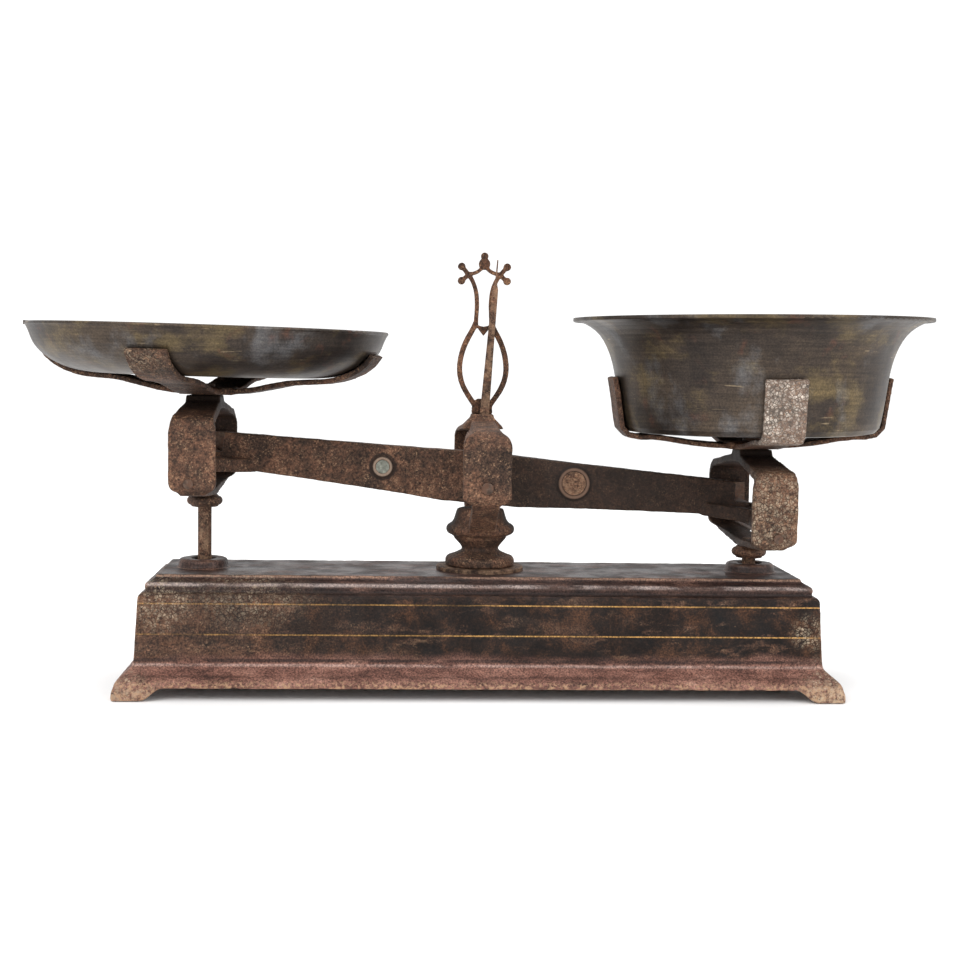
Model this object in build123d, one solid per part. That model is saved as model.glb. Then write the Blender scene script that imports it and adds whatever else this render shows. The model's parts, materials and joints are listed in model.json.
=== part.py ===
"""Counter balance with two pans on a parallel (Roberval) linkage.

Millimetres. +X runs along the beam to the bowl side, +Y to the back, +Z up.
The origin is on the floor, under the axis of the column.
The rest pose has the bowl side down: the beam leans by REST_TILT.
"""
import math
import os

from build123d import *

os.makedirs("parts", exist_ok=True)

# ---- linkage ----
ARM = 183.5            # knife line to knife line along the beam
PIVOT_Z = 138.5        # height of the centre knife edge
LOWER_PIVOT_Z = 41.0   # height of the counter-beam pivot
REST_TILT = 4.8        # degrees, bowl side down
SWING = math.radians(REST_TILT)
END_X = ARM * math.cos(SWING)
LIFT = ARM * math.sin(SWING)
LEFT_Z = PIVOT_Z + LIFT
RIGHT_Z = PIVOT_Z - LIFT

# ---- common sections ----
CHEEK_OUT = 68.0       # outer face of the cheeks, front and back
FORK_WALL = 6.0
CARRIER_WALL = 5.0
KNIFE_GAP = 0.05       # air between a knife edge and its bearing
KNIFE_HALF = 59.0      # half length of every knife along Y
BEARING_IN = 51.0      # inner end of the bearing blocks
HEAD_HALF = 49.5       # half length of the beam's cross heads
STEM_R = 4.5
FIT = 0.02             # play of a driven part inside its own casting
STOP_GAP = 0.3         # air left where two moving bodies meet

# ---- base ----
TOP_Z = 76.4
TOP_HALF_X = 209.4
TOP_HALF_Y = 37.0
ROOF = 5.5
BOSS_R = 16.0
BOSS_TOP = 82.5
BOSS_HOLE_R = 8.0
SHANK_R = 8.0
FOOT_Z = 9.0
FLARE_X = 24.4         # how far the feet stand out of the top plane's edge
FLARE_Y = 27.5

# ---- column ----
SEAT_R = 29.0
SEAT_T = 2.6
FLANGE_R = 23.3
FORK_HALF_X = 15.3

# ---- pans ----
DISH_R = 117.5
DISH_RIM_Z = 234.0
DISH_LEAN = 0.8        # degrees, dish and its cross lean to the column
BOWL_LEAN = -0.7       # degrees, bowl and its cross lean to the column
LIP = 0.98             # spout lip that stands out of the dish rim
BOWL_R = 119.5
BOWL_RIM_Z = 246.0
METAL = 1.4            # pan sheet
PAN_IN = 2.5           # pans and crosses sit this far in from the carriers' axes

# ---- fork, bearings and lower clevis ----
SLOT_HALF_X = 9.6      # swing room of the pointer in the top of the fork
SLOT_Y0 = -8.6
SLOT_Y1 = -2.6
PIN_R = 2.6            # pins that hold the bearings
FORK_PIN_Z = 136.3
LYRE_SCREW_X = (-4.4, 4.4)
LYRE_SCREW_R = 1.3
LYRE_SCREW_Y = 2.6
LYRE_SCREW_LOW = 174.5
LOWER_STUD_R = 4.0
SHANK_LOW = 57.0
STUD_TOP = 66.0
LOWER_PIN_R = 3.0
COUNTER_HALF_Y = 5.0

# ---- lyre ----
LYRE_HALF_Y = 1.5
LYRE_FOOT_Z = 180.5
LYRE_SCALE = 0.987     # brings the drawn outline to the lyre's height
LYRE_SCREW_IN = 3.0    # the screws stand this far behind the lyre's plane
LYRE_FOOT_T = 2.4

# ---- beam ----
BEAM_HALF_Y = 5.5
PLUG_X = 66.0          # lead plug on the left arm
PLUG_R = 4.4
DISC_X = 62.0          # capacity disc on the right arm
DISC_R = 10.7
KNIFE_W = 4.6          # half width of the end knives at their base
KNIFE_H = 8.0
PLUG_DZ = 0.6          # plug and disc sit above the knife line
DISC_DZ = 1.7
DISC_RIM = 2.7         # width of the raised rim round the disc
PLUG_RIM_R = 7.1       # raised rim round the plug
BADGE_RISE = 1.2       # rims stand out of the beam's face
SCREW_R = 1.5          # pointer screw
POINTER_FOOT = 13.6    # foot of the pointer above the knife line
POINTER_X = -2.0
POINTER_Y0 = -6.6      # front face of the pointer
POINTER_Y1 = -4.4
POINTER_LEAN = 0.77    # degrees the pointer is bent back against the tilt
POINTER_SCREW_DZ = 16.2
KNIFE_SEAT = 3.0       # straight part of a knife that sits in its seat

# ---- carriers, collars and stems ----
CARRIER_HALF_X = 14.7
NECK_TOP = 36.5        # hub of the cross above the knife line
COLLAR_TOP = -29.4     # collar under the carrier, from the knife line
COLLAR_LOW = -37.2
KEEPER_R = 2.5
KEEPER_DZ = -16.8
KEEPER_DX = 2.0
SPIGOT_R = 4.0
LINK_R = 2.4
LINK_PLAY = 0.4        # the eyes are loose on their pins
EYE_R = 6.0
STEM_TOP = -24.2       # upper end of the stem, from the knife line

# ---- crosses ----
STRAP = 3.5
LEAN_RISE = 0.35       # a leaning cross stands clear of its neck
DISH_UNDER = [
    (8.0, 0.3), (24.0, 0.9), (40.0, 3.8), (60.0, 7.8), (76.0, 8.8), (88.0, 10.5),
    (98.0, 14.0), (106.0, 18.6), (111.4, 23.8), (113.9, 27.8),
]
BOWL_UNDER = [
    (8.0, 0.3), (24.0, 0.6), (50.0, 3.6), (70.0, 6.2), (82.0, 6.9),
    (88.6, 11.6), (90.6, 20.0), (92.6, 34.0), (94.8, 47.2),
]
CROSS_HALF_W = 13.5    # half width of the straps
HUB_HALF = 17.0        # half side of the square hub
HUB_RISE = 1.6         # hub above the straps
DISH_TURN = -12.5      # degrees the crosses are turned on their carriers
BOWL_TURN = 0.6

# ---- pan details ----
DISH_BOTTOM_R = 74.0
BOWL_BOTTOM_R = 78.0
LIP_HALF = 9.0         # half width of the dish's spout lip
BEAD_R = 1.2           # rolled bead at the rims

# ---- counter-beam ----
STOP_X = 150.0
EAR_OUT = 9.4          # outer face of the forked ends of the counter-beam
EAR_HALF_Z = 5.6       # half height of the forked ends
EAR_END = 7.5          # end of the counter-beam past its pins


def save(shape, name):
    """Write one node as its own STEP file."""
    export_step(shape, "parts/" + name + ".step")


def flip_x(points):
    return [(-x, z) for x, z in reversed(points)]


def mirror_outline(half):
    """Close an outline given by its right-hand half, from bottom to top."""
    return half + flip_x(half)


def face_xz(points, y=0.0):
    """Flat face in the XZ plane through y, from (x, z) points."""
    return Face(Wire.make_polygon([Vector(x, y, z) for x, z in points], close=True))


def plate_xz(points, y_from, y_to):
    """Extrude an XZ outline from y_from to y_to."""
    return Solid.extrude(face_xz(points, y_from), Vector(0, y_to - y_from, 0))


def plate_yz(points, x_from, x_to):
    """Extrude a YZ outline from x_from to x_to."""
    face = Face(Wire.make_polygon([Vector(x_from, y, z) for y, z in points], close=True))
    return Solid.extrude(face, Vector(x_to - x_from, 0, 0))


def block(x0, x1, y0, y1, z0, z1):
    """Box from its six limits."""
    size = (x1 - x0, y1 - y0, z1 - z0)
    centre = ((x0 + x1) / 2, (y0 + y1) / 2, (z0 + z1) / 2)
    return Pos(*centre) * Box(*size)


def rod_y(radius, y0, y1, x=0.0, z=0.0):
    """Round bar along Y."""
    return Pos(x, (y0 + y1) / 2, z) * Rot(90, 0, 0) * Cylinder(radius, y1 - y0)


def rod_z(radius, z0, z1, x=0.0, y=0.0):
    """Round bar along Z."""
    return Pos(x, y, (z0 + z1) / 2) * Cylinder(radius, z1 - z0)


def turned(points, x=0.0, y=0.0):
    """Solid of revolution about a vertical axis, from (radius, z) points."""
    wire = Polyline(*[Vector(r, 0, z) for r, z in points], close=True)
    return Pos(x, y, 0) * revolve(make_face(wire), Axis.Z)


def arc_points(cx, cz, radius, start, end, count=7):
    """Points along an arc, angles in degrees from +X towards +Z."""
    out = []
    for step in range(count):
        angle = math.radians(start + (end - start) * step / (count - 1))
        out.append((cx + radius * math.cos(angle), cz + radius * math.sin(angle)))
    return out


def tilt(shape, about_z, degrees=REST_TILT, about_x=0.0):
    """Turn a part about the Y line through (about_x, about_z)."""
    centred = Pos(-about_x, 0, -about_z) * shape
    return Pos(about_x, 0, about_z) * Rot(0, degrees, 0) * centred


def both(shape):
    """The shape and its mirror image behind the XZ plane."""
    return [shape, mirror(shape, Plane.XZ)]


# ---------------------------------------------------------------- base

def base_side(step, flare):
    """Moulded half outline of the plinth, feet included; step is the half
    width of the top plane in the outline's own direction, and flare is how
    far the feet stand out of it."""
    ogee = []
    for count in range(9):
        share = count / 8
        swell = 0.5 - 0.5 * math.cos(math.pi * share)
        ogee.append((step + 12.6 + (flare - 14.2) * (1.0 - swell), FOOT_Z + 12.5 * share))
    head = arc_points(step + 3.4, TOP_Z - 7.0, 3.2, -75, 85, 6)
    return (
        [(step + flare, 0.0), (step + flare - 0.4, 5.0)]
        + ogee
        + [(step + 12.4, 24.0), (step + 10.2, 63.4), (step + 8.8, 65.2), (step + 5.0, 65.4)]
        + head
        + [(step + 1.4, TOP_Z - 3.2), (step + 1.4, TOP_Z - 2.4), (step, TOP_Z - 2.4), (step, TOP_Z)]
    )


def base_room(step, flare):
    """Half outline of the hollow under the plinth's roof."""
    return [
        (step + flare - 6.0, -1.0),
        (step + flare - 7.0, FOOT_Z),
        (step + 6.4, 22.0),
        (step + 5.0, 62.0),
        (step + 1.0, TOP_Z - ROOF),
    ]


def crossed(half_x, half_y):
    """Solid whose outline is half_x seen from the front, half_y from the side."""
    wide = 300.0
    front = plate_xz(mirror_outline(half_x), -wide, wide)
    side = plate_yz(mirror_outline(half_y), -wide, wide)
    return Part() + front & side


def foot_gap(half_span):
    """Outline cut out of the skirt between two feet, with ogee ends."""
    foot_run = 15.0
    curve = []
    for count in range(7):
        share = count / 6
        rise = 0.5 - 0.5 * math.cos(math.pi * share)
        curve.append((half_span - foot_run * share, (FOOT_Z - 1.0) * rise))
    low = [(half_span + 0.01, -1.0)]
    return mirror_outline(low + curve)


def base_casting():
    body = crossed(base_side(TOP_HALF_X, FLARE_X), base_side(TOP_HALF_Y, FLARE_Y))
    body -= crossed(base_room(TOP_HALF_X, FLARE_X), base_room(TOP_HALF_Y, FLARE_Y))
    body -= plate_xz(foot_gap(TOP_HALF_X + FLARE_X - 18.0), -110, 110)
    body -= plate_yz(foot_gap(TOP_HALF_Y + FLARE_Y - 18.0), -260, 260)
    for side in (-1, 1):
        x = side * ARM
        boss = [
            (0, TOP_Z - 1.0), (BOSS_R + 1.2, TOP_Z - 1.0), (BOSS_R + 0.4, TOP_Z + 1.4),
            (BOSS_R, BOSS_TOP - 1.2), (BOSS_R - 1.4, BOSS_TOP), (0, BOSS_TOP),
        ]
        body += turned(boss, x)
        body += rod_z(BOSS_R - 2.0, TOP_Z - ROOF - 3.0, TOP_Z - 2.0, x)
        body -= rod_z(BOSS_HOLE_R, 55, 90, x)
    body += rod_z(SHANK_R + 7.0, TOP_Z - ROOF - 2.5, TOP_Z - 2.0)
    body -= rod_z(SHANK_R + FIT, 55, 90)
    for side in (-1, 1):
        lug = stop_lug_z(side)
        body += block(side * STOP_X - 5, side * STOP_X + 5, -9, 9, lug, TOP_Z - 2.0)
    return body


# ---------------------------------------------------------------- column

def seat_disc():
    edge = SEAT_R
    return turned([
        (SHANK_R + FIT, TOP_Z), (edge, TOP_Z), (edge, TOP_Z + SEAT_T - 0.6),
        (edge - 1.0, TOP_Z + SEAT_T), (SHANK_R + FIT, TOP_Z + SEAT_T),
    ])


def column_shaft():
    """Turned foot of the column: flange, neck, cup, ring and hub."""
    foot = TOP_Z + SEAT_T
    ring_z = 103.6
    ring_r = 3.9
    ring = arc_points(23.0 - ring_r, ring_z, ring_r, -90, 90, 9)
    outline = [
        (0, foot), (22.4, foot), (FLANGE_R, foot + 1.0), (FLANGE_R, foot + 4.6),
        (22.0, foot + 6.4), (16.0, foot + 8.6), (12.4, 89.6), (12.2, 91.0),
        (14.6, 94.4), (17.2, 97.2), (18.2, 99.4),
    ] + ring + [
        (19.0, 108.2), (17.8, 109.6), (15.8, 116.6), (15.2, 117.4), (0, 117.4),
    ]
    return turned(outline)


def fork_loop():
    """Closed frame of the fork, seen from the side, before it is trimmed."""
    outer = [
        (-10, 100.5), (10, 100.5), (23, 103.4), (CHEEK_OUT - 3.5, 125.0), (CHEEK_OUT, 129.4),
        (CHEEK_OUT, 166.0), (CHEEK_OUT - 1.4, 169.4), (CHEEK_OUT - 4.5, 171.8), (13.0, 176.5), (9.5, 180.5),
    ]
    outer = outer + [(-y, z) for y, z in reversed(outer[2:])]
    inner_y = CHEEK_OUT - FORK_WALL
    inner = [
        (0, 107), (17, 109.5), (inner_y - 3, 127.4), (inner_y, 129.4),
        (inner_y, 163.0), (inner_y - 3.0, 165.8), (11.0, 171.2), (0, 171.6),
    ]
    inner = inner + [(-y, z) for y, z in reversed(inner[1:-1])]
    loop = plate_yz(outer, -30, 30)
    return Part() + loop - plate_yz(inner, -31, 31)


def fork_front():
    """Outline of the fork seen from the front."""
    crown = arc_points(FORK_HALF_X - 8.4, 162.6, 8.4, 0, 74, 6)
    half = [
        (8.9, 96.0), (8.9, 125.0), (12.6, 126.8), (FORK_HALF_X, 129.6),
        (FORK_HALF_X, 161.0),
    ] + crown + [(7.6, 176.4), (7.2, 181.0)]
    return mirror_outline(half)


def column_fork():
    frame = fork_loop() & plate_xz(fork_front(), -70, 70)
    body = column_shaft() + frame
    cap = [(13.8, 170.6), (13.4, 172.2), (7.4, 178.4), (7.2, LYRE_FOOT_Z)]
    body += plate_xz(mirror_outline(cap), -11.5, 11.5)
    body -= block(-SLOT_HALF_X, SLOT_HALF_X, SLOT_Y0, SLOT_Y1, 160, 190)
    for x in LYRE_SCREW_X:
        body -= rod_z(LYRE_SCREW_R + FIT, LYRE_SCREW_LOW, 190, x, LYRE_SCREW_Y + LYRE_SCREW_IN)
    for piece in both(rod_y(PIN_R + FIT, -CHEEK_OUT - 5, -CHEEK_OUT + FORK_WALL + 1, z=FORK_PIN_Z)):
        body -= piece
    body += rod_z(SHANK_R, SHANK_LOW, TOP_Z + SEAT_T + 1)
    body -= rod_z(LOWER_STUD_R + FIT, SHANK_LOW - 1, STUD_TOP + 0.5)
    return body


def column_nut():
    hexagon = extrude(Plane.XY.offset(TOP_Z - ROOF - 13.0) * RegularPolygon(14.0, 6), 7.8)
    return hexagon - rod_z(SHANK_R + FIT, 40, 80)


def column_washer():
    low = TOP_Z - ROOF - 5.0
    return rod_z(17.0, low, TOP_Z - ROOF - 2.5) - rod_z(SHANK_R + FIT, 40, 80)


def lower_clevis():
    """Fork under the column that carries the counter-beam's pivot."""
    body = block(-9, 9, -12.5, 12.5, 29.0, 56.0)
    body -= block(-10, 10, -COUNTER_HALF_Y - 0.8, COUNTER_HALF_Y + 0.8, 20, 51.8)
    body += rod_z(LOWER_STUD_R, 55.0, STUD_TOP)
    body -= rod_y(LOWER_PIN_R + FIT, -20, 20, z=LOWER_PIVOT_Z)
    return body


def lower_pivot_pin():
    pin = rod_y(LOWER_PIN_R, -13.2, 13.8, z=LOWER_PIVOT_Z)
    return pin + rod_y(LOWER_PIN_R + 1.8, -15.4, -12.5, z=LOWER_PIVOT_Z)


def v_block(x, edge_z, opens, half_x, height, y0, y1):
    """Hardened block with a V groove that opens up (+1) or down (-1)."""
    far = edge_z - opens * (KNIFE_GAP + height)
    near = edge_z + opens * 4.0
    low, high = min(far, near), max(far, near)
    body = block(x - half_x, x + half_x, y0, y1, low, high)
    spread = 60.0
    reach = 6.0
    rise = reach / math.tan(math.radians(spread))
    tip = edge_z - opens * KNIFE_GAP
    groove = [
        (x, tip), (x + reach * 1.5, tip + opens * rise * 1.5),
        (x - reach * 1.5, tip + opens * rise * 1.5),
    ]
    return body - plate_xz(groove, y0 - 1, y1 + 1)


def fork_bearing(side):
    """Bearing block inside one cheek of the fork, side -1 front, +1 back."""
    inner = CHEEK_OUT - FORK_WALL
    piece = v_block(0, PIVOT_Z, 1, 8.5, 9.0, BEARING_IN, inner)
    piece -= rod_y(PIN_R + FIT, BEARING_IN - 1, inner + 1, z=FORK_PIN_Z - 2.6)
    return piece if side > 0 else mirror(piece, Plane.XZ)


def fork_pin(side):
    """Rivet whose head shows on the outside of the cheek."""
    z = FORK_PIN_Z
    shank = rod_y(PIN_R, CHEEK_OUT - FORK_WALL, CHEEK_OUT + 0.2, z=z)
    head = rod_y(PIN_R + 1.1, CHEEK_OUT, CHEEK_OUT + 1.3, z=z)
    piece = shank + head
    return piece if side > 0 else mirror(piece, Plane.XZ)


# ---------------------------------------------------------------- lyre

def spline_band(points, width):
    """Bar of even width in the XZ plane along a smooth line."""
    line = Spline(*[Vector(x, 0, z) for x, z in points])
    side = []
    for sign in (1, -1):
        edge = []
        steps = 16
        for step in range(steps + 1):
            at = line.position_at(step / steps)
            along = line.tangent_at(step / steps)
            normal = Vector(along.Z, 0, -along.X)
            edge.append((at.X + sign * normal.X * width / 2, at.Z + sign * normal.Z * width / 2))
        side.append(edge)
    return side[0] + list(reversed(side[1]))


def lyre_bar(points, width):
    return plate_xz(spline_band(points, width), -LYRE_HALF_Y, LYRE_HALF_Y)


def lyre():
    """Flat openwork frame with a notch that the pointer swings past."""
    t = LYRE_HALF_Y
    loop = [
        (-5.4, 186.6), (-9.8, 193.0), (-13.6, 200.0), (-15.6, 208.5), (-15.3, 216.0),
        (-13.6, 223.5), (-10.4, 231.0), (-7.2, 236.8), (-5.2, 241.6),
    ]
    neck = [(-5.2, 239.6), (-4.9, 247.0), (-4.7, 256.0), (-6.2, 265.0), (-10.4, 273.2)]
    brow = [(-11.6, 274.2), (-6.4, 274.6), (-2.6, 277.0), (0.0, 280.8)]
    upper_spur = [(-15.0, 278.6), (-11.0, 273.8), (-8.6, 270.6)]
    lower_spur = [(-15.0, 269.5), (-12.8, 271.4), (-9.6, 274.4)]
    body = plate_xz([(-6.6, LYRE_FOOT_Z), (6.6, LYRE_FOOT_Z), (7.0, 188.0), (3.2, 190.6),
                     (-3.2, 190.6), (-7.0, 188.0)], -t, t)
    body = Part() + body
    for mirrored in (False, True):
        parts = [
            lyre_bar(loop, 3.7), lyre_bar(neck, 3.0), lyre_bar(brow, 2.6),
            lyre_bar(upper_spur, 3.0), lyre_bar(lower_spur, 3.0),
            rod_y(2.6, -t, t, -15.3, 278.8), rod_y(2.6, -t, t, -15.3, 269.3),
        ]
        for piece in parts:
            body += mirror(piece, Plane.YZ) if mirrored else piece
    body += rod_y(4.0, -t, t, 0, 280.6)
    body += rod_y(2.6, -t, t, 0, 285.8)
    body += plate_xz([(-2.0, 279), (2.0, 279), (1.8, 286), (-1.8, 286)], -t, t)
    body += plate_xz([(-5.6, 241.0), (-3.2, 236.6), (0, 232.6), (3.2, 236.6), (5.6, 241.0),
                      (3.0, 239.6), (0, 238.9), (-3.0, 239.6)], -t, t)
    body = Pos(0, LYRE_SCREW_Y - 1.6, LYRE_FOOT_Z * (1 - LYRE_SCALE)) * scale(body, LYRE_SCALE)
    body += block(-6.8, 6.8, LYRE_SCREW_Y - 3.1, LYRE_SCREW_Y + 6.2, LYRE_FOOT_Z, LYRE_FOOT_Z + LYRE_FOOT_T)
    for x in LYRE_SCREW_X:
        body -= rod_z(LYRE_SCREW_R + FIT, 170, LYRE_FOOT_Z + 2.5, x, LYRE_SCREW_Y + LYRE_SCREW_IN)
    return body


def lyre_screw(x):
    y = LYRE_SCREW_Y + LYRE_SCREW_IN
    top = LYRE_FOOT_Z + LYRE_FOOT_T
    screw = rod_z(LYRE_SCREW_R, LYRE_SCREW_LOW, top, x, y)
    screw += rod_z(2.4, top, top + 1.6, x, y)
    return screw - block(x - 3, x + 3, y - 0.35, y + 0.35, top + 0.9, top + 3)


# ---------------------------------------------------------------- beam

def beam_outline():
    """Half outline of the beam in its own level frame, about the knife line."""
    return [
        (0, -18.0), (26, -18.0), (60, -15.4), (110, -12.6), (150, -10.6), (ARM + 9.5, -9.4),
        (ARM + 9.5, 5.0), (ARM + 4.6, 5.0), (ARM - 4.6, 5.0), (ARM - 12, 13.4), (60, 15.2), (14, 16.4),
        (9, 18.0), (0, 18.0),
    ]


def knife(x, edge_z, body_side):
    """Steel prism along Y; body_side -1 hangs below the edge, +1 stands above."""
    end = edge_z + body_side * KNIFE_H
    deep = end + body_side * KNIFE_SEAT
    outline = [(x, edge_z), (x + KNIFE_W, end), (x + KNIFE_W, deep), (x - KNIFE_W, deep), (x - KNIFE_W, end)]
    return plate_xz(outline, -KNIFE_HALF, KNIFE_HALF)


def knife_room(x, edge_z, body_side):
    """The knife grown by the driving fit, to cut its seat."""
    grow = FIT
    end = edge_z + body_side * KNIFE_H
    deep = end + body_side * (KNIFE_SEAT + grow)
    w = KNIFE_W + grow
    outline = [(x, edge_z - body_side * grow * 2), (x + w, end), (x + w, deep), (x - w, deep), (x - w, end)]
    return plate_xz(outline, -KNIFE_HALF - 1, KNIFE_HALF + 1)


def beam():
    z = PIVOT_Z
    half = [(x, z + dz) for x, dz in beam_outline()]
    outline = half + [(-x, zz) for x, zz in reversed(half[1:-1])]
    body = Part() + plate_xz(outline, -BEAM_HALF_Y, BEAM_HALF_Y)
    for side in (-1, 1):
        x = side * ARM
        head = [(x - 7.4, z - 13.2), (x + 7.4, z - 13.2), (x + 7.4, z - 5.0), (x + 3.0, z - 2.0),
                (x - 3.0, z - 2.0), (x - 7.4, z - 5.0)]
        body += plate_xz(head, -HEAD_HALF, HEAD_HALF)
        wedge = Wire.make_polygon([
            Vector(x - side * 34, BEAM_HALF_Y - 1, z - 11.6), Vector(x - side * 6, 30, z - 11.6),
            Vector(x - side * 6, BEAM_HALF_Y - 1, z - 11.6)], close=True)
        web = Solid.extrude(Face(wedge), Vector(0, 0, 9.0))
        for piece in both(web):
            body += piece
        body -= block(x - 12, x + 12, -60, 60, z - 0.02, z + 30)
    hub = [(-7.6, z + 3.0), (7.6, z + 3.0), (7.6, z + 13.0), (-7.6, z + 13.0)]
    body += plate_xz(hub, -HEAD_HALF + 2.0, HEAD_HALF - 2.0)
    for centre, radius, rise in ((-PLUG_X, PLUG_RIM_R, PLUG_DZ), (DISC_X, DISC_R, DISC_DZ)):
        body += rod_y(radius, -BEAM_HALF_Y - BADGE_RISE, -BEAM_HALF_Y + 1, centre, z + rise)
    body -= rod_y(PLUG_R + FIT, -BEAM_HALF_Y - 3, -BEAM_HALF_Y + 3, -PLUG_X, z + PLUG_DZ)
    body -= rod_y(DISC_R - DISC_RIM + FIT, -BEAM_HALF_Y - 3, -BEAM_HALF_Y + 0.4, DISC_X, z + DISC_DZ)
    body -= knife_room(0, z, 1)
    for side in (-1, 1):
        body -= knife_room(side * ARM, z, -1)
    body -= block(POINTER_X - 3.1, POINTER_X + 3.1, -BEAM_HALF_Y - 4, POINTER_Y1, z + 13.4, z + 40)
    return body


def pointer():
    """Tapered needle that stands on the beam and runs up to the lyre's brow."""
    z = PIVOT_Z
    outline = [
        (-3.0, z + POINTER_FOOT), (3.0, z + POINTER_FOOT), (2.9, z + 50), (2.3, z + 88),
        (1.9, z + 124), (0.55, z + 129), (0.35, z + 143.4), (-0.35, z + 143.4),
        (-0.55, z + 129), (-1.9, z + 124), (-2.3, z + 88), (-2.9, z + 50),
    ]
    lean = math.tan(math.radians(POINTER_LEAN))
    bent = [(x + POINTER_X - lean * (zz - z - POINTER_FOOT), zz) for x, zz in outline]
    body = Part() + plate_xz(bent, POINTER_Y0, POINTER_Y1)
    body += block(POINTER_X - 3.0, POINTER_X + 3.0, POINTER_Y0, POINTER_Y1, z + POINTER_FOOT, z + 24)
    return body - rod_y(SCREW_R + FIT, -20, 0, POINTER_X, z + POINTER_SCREW_DZ)


def pointer_screw():
    z = PIVOT_Z + POINTER_SCREW_DZ
    screw = rod_y(SCREW_R, POINTER_Y0 - 0.2, POINTER_Y1, POINTER_X, z)
    return screw + rod_y(2.1, POINTER_Y0 - 1.2, POINTER_Y0, POINTER_X, z)


def lead_plug():
    z = PIVOT_Z + PLUG_DZ
    return rod_y(PLUG_R, -BEAM_HALF_Y - 0.9, -BEAM_HALF_Y + 3, -PLUG_X, z)


def capacity_disc():
    """Disc let into the beam's face; plain raised bars stand for its figures."""
    z = PIVOT_Z + DISC_DZ
    face = -BEAM_HALF_Y - 0.4
    disc = rod_y(DISC_R - DISC_RIM, face, -BEAM_HALF_Y + 0.4, DISC_X, z)
    for dz, half in ((2.6, 3.0), (0.0, 5.4), (-2.6, 3.6)):
        disc += block(DISC_X - half, DISC_X + half, face - 0.5, face + 0.2, z + dz - 0.7, z + dz + 0.7)
    return disc


# ---------------------------------------------------------------- carriers


def carrier_frame(x, z, side):
    """Stirrup that straddles the beam's end, hung from the knife."""
    outer = [
        (0, COLLAR_TOP), (9, COLLAR_TOP), (14, -28.8), (CHEEK_OUT - 9, -25.4), (CHEEK_OUT - 4, -24.2),
        (CHEEK_OUT, -20.6), (CHEEK_OUT, 20.4),
        (CHEEK_OUT - 1, 23.0), (CHEEK_OUT - 4, 25.2), (13, 32.6), (11, NECK_TOP), (0, NECK_TOP),
    ]
    in_y = CHEEK_OUT - CARRIER_WALL
    inner = [
        (0, -24.2), (10, -24.0), (in_y - 5, -20.6), (in_y, -17.0), (in_y, 17.4), (in_y - 3, 20.2),
        (12, 27.4), (0, 27.8),
    ]
    outer_yz = [(y, z + dz) for y, dz in outer] + [(-y, z + dz) for y, dz in reversed(outer[1:-1])]
    inner_yz = [(y, z + dz) for y, dz in inner] + [(-y, z + dz) for y, dz in reversed(inner[1:-1])]
    wide = CARRIER_HALF_X + 2
    loop = Part() + plate_yz(outer_yz, x - wide, x + wide) - plate_yz(inner_yz, x - wide - 1, x + wide + 1)
    corner = arc_points(CARRIER_HALF_X - 6.2, z - 16.4, 6.2, -78, 0, 5)
    half = [(8.4, z - 33.0), (8.4, z - 23.6)] + corner + [
        (CARRIER_HALF_X, z + 15.0), (13.9, z + 19.0), (11.4, z + 30.5), (11.0, z + 36.5),
    ]
    outline = [(x + dx, zz) for dx, zz in mirror_outline(half)]
    body = loop & plate_xz(outline, -70, 70)
    body += rod_z(10.4, z + 28.0, z + NECK_TOP, x)
    body += rod_z(8.2, z + COLLAR_TOP, z - 24.1, x)
    body -= rod_z(STEM_R + FIT, z - 40, z - 24.0, x)
    keeper_x = x + side * KEEPER_DX
    body -= rod_y(KEEPER_R + FIT, -CHEEK_OUT - 5, CHEEK_OUT + 5, keeper_x, z + KEEPER_DZ)
    body -= rod_z(SPIGOT_R + 0.3, z + NECK_TOP - 9.0, z + NECK_TOP + 2, x)
    return body


def carrier_bearing(x, z, side):
    """Bearing block inside one cheek of a carrier, side -1 front, +1 back."""
    inner = CHEEK_OUT - CARRIER_WALL
    piece = v_block(x, z, -1, 8.0, 9.5, BEARING_IN, inner)
    return piece if side > 0 else mirror(piece, Plane.XZ)


def keeper_pin(x, z, side):
    """Cross pin under the beam's head that keeps the carrier on its knife."""
    keeper_x = x + side * KEEPER_DX
    pin = rod_y(KEEPER_R, -CHEEK_OUT - 0.2, CHEEK_OUT + 0.6, keeper_x, z + KEEPER_DZ)
    head = rod_y(KEEPER_R + 0.6, -CHEEK_OUT - 1.2, -CHEEK_OUT, keeper_x, z + KEEPER_DZ)
    return pin + head


def collar(x, z):
    """Turned collar under the carrier."""
    mid = z + (COLLAR_TOP + COLLAR_LOW) / 2
    belly = arc_points(11.7 - 3.0, mid, 3.0, -80, 80, 7)
    outline = [(STEM_R + FIT, z + COLLAR_LOW), (8.6, z + COLLAR_LOW)] + belly + [
        (8.4, z + COLLAR_TOP), (STEM_R + FIT, z + COLLAR_TOP)]
    return turned(outline, x)


def stem(x, z):
    """Rod from the carrier down into the base, with an eye at its foot."""
    pin_z = z - (PIVOT_Z - LOWER_PIVOT_Z)
    rod = rod_z(STEM_R, pin_z + 4.0, z + STEM_TOP, x)
    eye = rod_y(EYE_R, -3.6, 3.6, x, pin_z)
    hole = rod_y(LINK_R + LINK_PLAY, -6, 6, x, pin_z)
    return rod + eye - hole


def strap_section(under, thick):
    """Closed (radius, height) outline of a bent strap from its underside."""
    line = Spline(*[Vector(r, 0, z) for r, z in under])
    low, high = [], []
    steps = 14
    for step in range(steps + 1):
        at = line.position_at(step / steps)
        along = line.tangent_at(step / steps)
        low.append((at.X, at.Z))
        high.append((at.X - along.Z * thick, at.Z + along.X * thick))
    return low + list(reversed(high))


def pan_x(x):
    """Centre of the pan that stands on the carrier at x."""
    return x - math.copysign(PAN_IN, x)


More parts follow.
